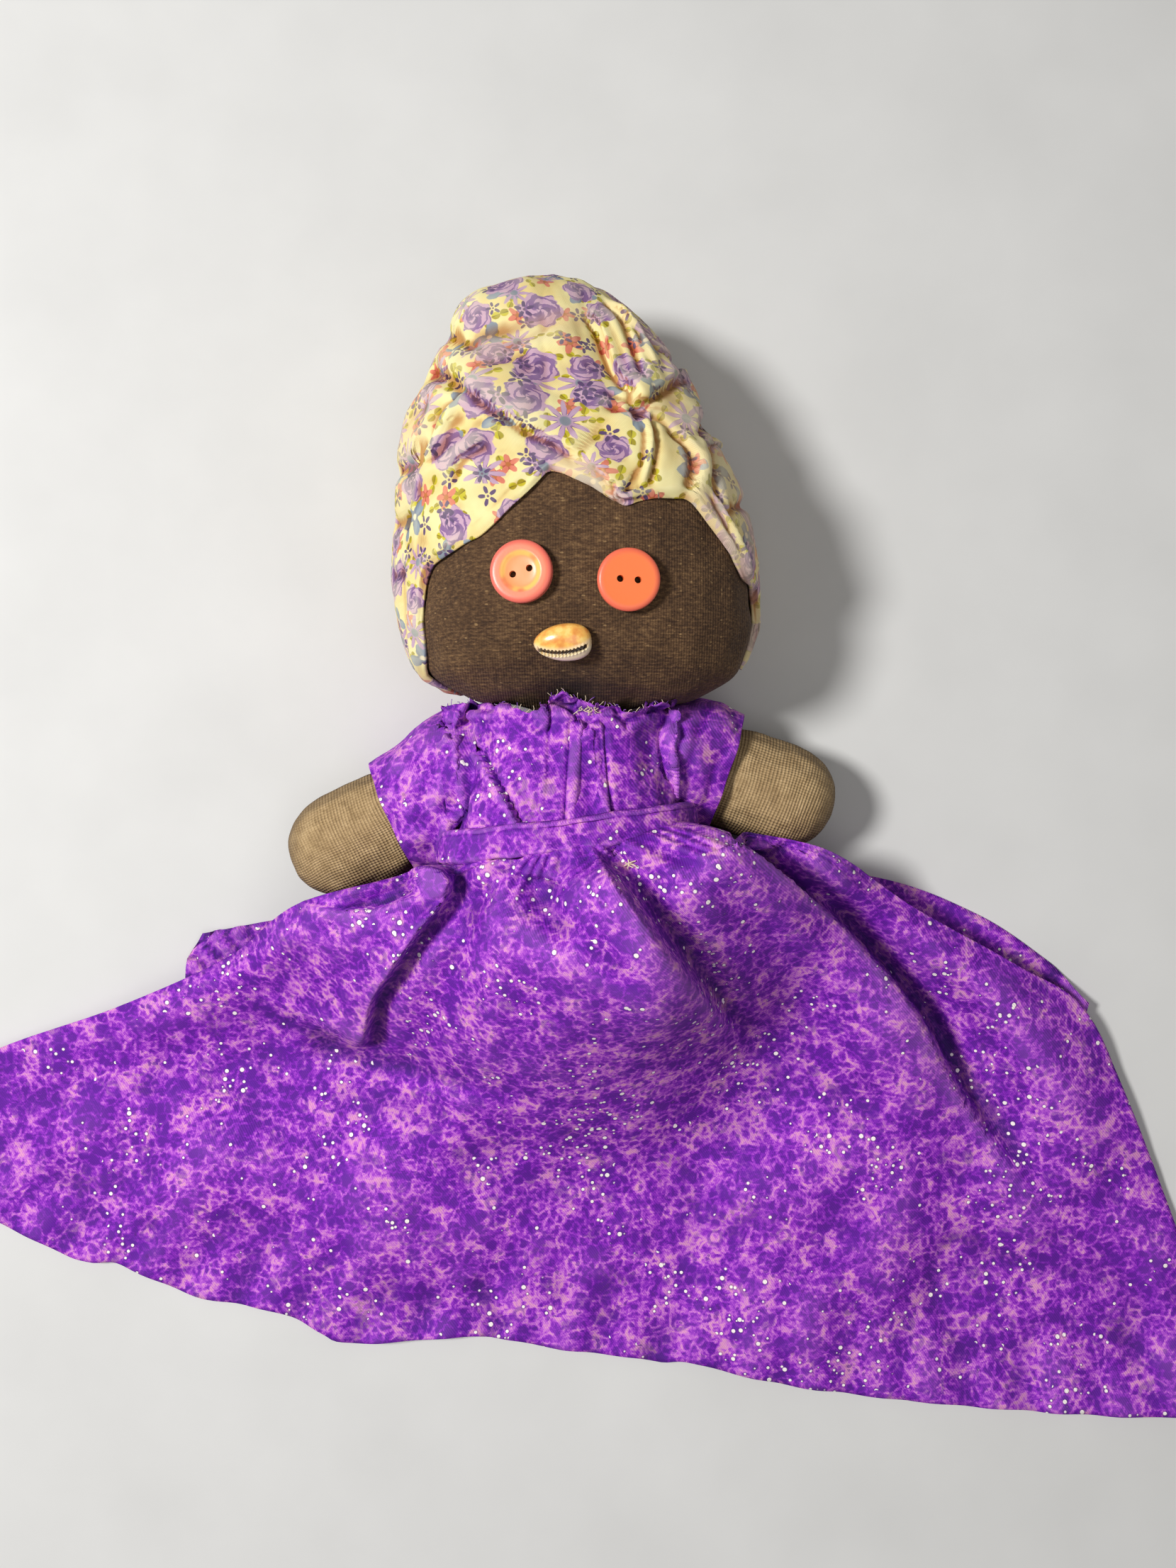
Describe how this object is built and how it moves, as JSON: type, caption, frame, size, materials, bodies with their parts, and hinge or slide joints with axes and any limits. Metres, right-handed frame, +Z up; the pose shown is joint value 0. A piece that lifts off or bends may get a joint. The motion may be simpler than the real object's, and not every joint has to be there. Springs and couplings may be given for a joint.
{
  "type": "cloth doll",
  "caption": "Stuffed stocking doll lying on its back, with button eyes, a shell mouth, a wound floral headwrap and a wide gathered dress spread over the floor.",
  "frame": {"origin": "middle of the bounding box at its lowest point, on the surface the doll lies on", "axes": "+Z up out of the doll's face, +Y from the hem towards the crown, +X to the viewer's right when the face is looked at from the front with the crown up"},
  "size_m": [0.4844, 0.3952, 0.0899],
  "materials": {
    "dark_knit": "matt fine stocking knit, mottled dark brown",
    "sheer_knit": "sheer stretched stocking with fine ribs over pale stuffing",
    "stuffing": "loose polyester wadding",
    "thread": "sewing thread",
    "button_plastic": "glossy coral polyester",
    "shell": "polished cowrie shell",
    "floral_cotton": "cream cotton with a small floral print",
    "dress_cotton": "purple marbled cotton with silver glitter specks"
  },
  "bodies": {
    "root": {"head_cover": "dark_knit", "torso_cover": "dark_knit", "head_stuffing": "stuffing", "torso_stuffing": "stuffing", "arm_stuffing_left": "stuffing", "arm_stuffing_right": "stuffing", "neck_tie": "thread", "arm_cover_left": "sheer_knit", "arm_cover_right": "sheer_knit", "eye_button_left": "button_plastic", "eye_button_right": "button_plastic", "cowrie_shell": "shell", "headwrap": "floral_cotton", "bodice_front": "dress_cotton", "bodice_back": "dress_cotton", "sleeve_left": "dress_cotton", "sleeve_right": "dress_cotton", "waistband": "dress_cotton", "skirt_front": "dress_cotton", "skirt_back": "dress_cotton"}
  },
  "joints": []
}
